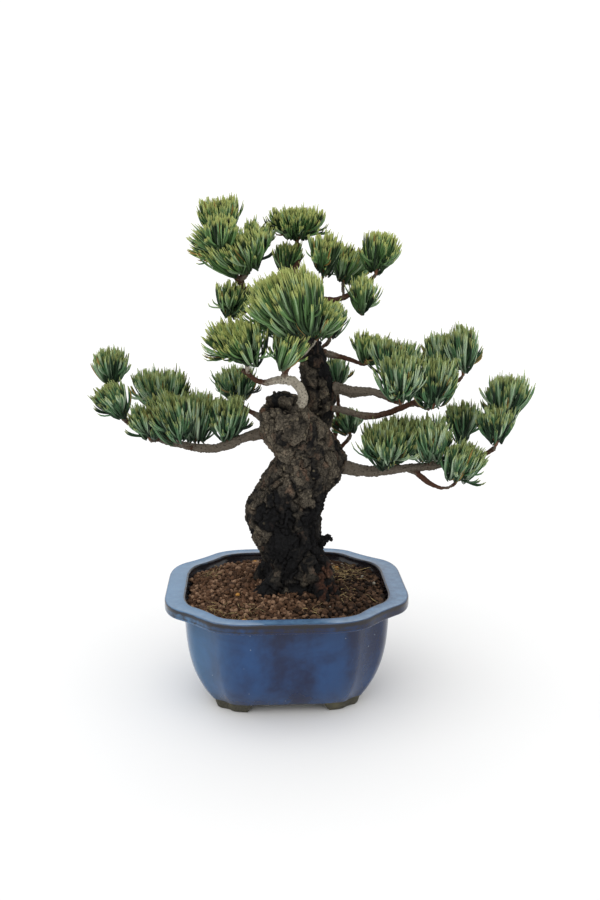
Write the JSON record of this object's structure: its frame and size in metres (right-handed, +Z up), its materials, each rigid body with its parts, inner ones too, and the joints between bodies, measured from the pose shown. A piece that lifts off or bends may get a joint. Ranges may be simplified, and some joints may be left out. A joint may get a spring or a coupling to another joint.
{
  "type": "potted pine bonsai",
  "caption": "Small pine bonsai with a thick bent trunk, plated bark and upright needle brushes, in a blue-glazed lobed pot on bracket feet with granular soil",
  "frame": {"origin": "on the table, under the middle of the whole plant's bounding box; the pot's middle is 23.6 mm along -X from it", "axes": "+Z up, +X to the right and +Y to the back as seen from the front of the pot"},
  "size_m": [0.3672, 0.176, 0.4301],
  "materials": {
    "glaze": "gloss",
    "screen_plastic": "matte",
    "clip_wire": "satin",
    "grit": "matte",
    "soil_granules": "matte",
    "trunk_bark": "matte",
    "branch_bark": "matte",
    "needles": "satin"
  },
  "bodies": {
    "root": {"pot": "glaze", "drain_screen_left": "screen_plastic", "drain_screen_right": "screen_plastic", "screen_clip_left": "clip_wire", "screen_clip_right": "clip_wire", "drainage_layer": "grit", "soil": "soil_granules", "trunk": "trunk_bark", "branch_left_low": "branch_bark", "branch_front": "branch_bark", "branch_right_low": "branch_bark", "branch_right_middle": "branch_bark", "branch_right_slender": "branch_bark", "branch_back_right": "branch_bark", "branch_back_left": "branch_bark", "branch_back_high": "branch_bark", "branch_crown_right": "branch_bark", "branch_crown_shoulder": "branch_bark", "branch_crown_left": "branch_bark", "branch_crown_leader": "branch_bark", "needles_left_tip": "needles", "needles_left_tip_low": "needles", "needles_left_back": "needles", "needles_left_outer": "needles", "needles_left_front": "needles", "needles_left_middle": "needles", "needles_left_inner": "needles", "needles_front_left": "needles", "needles_front_low": "needles", "needles_front_main": "needles", "needles_front_right": "needles", "needles_right_inner": "needles", "needles_right_front": "needles", "needles_right_back": "needles", "needles_right_low": "needles", "needles_right_outer": "needles", "needles_right_tip": "needles", "needles_middle_front": "needles", "needles_middle_inner": "needles", "needles_middle_outer": "needles", "needles_middle_back": "needles", "needles_middle_tip": "needles", "needles_back_right_low": "needles", "needles_back_right_high": "needles", "needles_back_left": "needles", "needles_back_high": "needles", "needles_back_high_right": "needles", "needles_crown_low_right": "needles", "needles_crown_mid_right": "needles", "needles_crown_inner_right": "needles", "needles_crown_back_right": "needles", "needles_crown_tip_right": "needles", "needles_crown_mid_left": "needles", "needles_crown_front_left": "needles", "needles_crown_side_left": "needles", "needles_crown_outer_left": "needles", "needles_crown_top_left": "needles", "needles_crown_back_left": "needles", "needles_crown_middle": "needles", "needles_crown_top": "needles"}
  },
  "joints": []
}
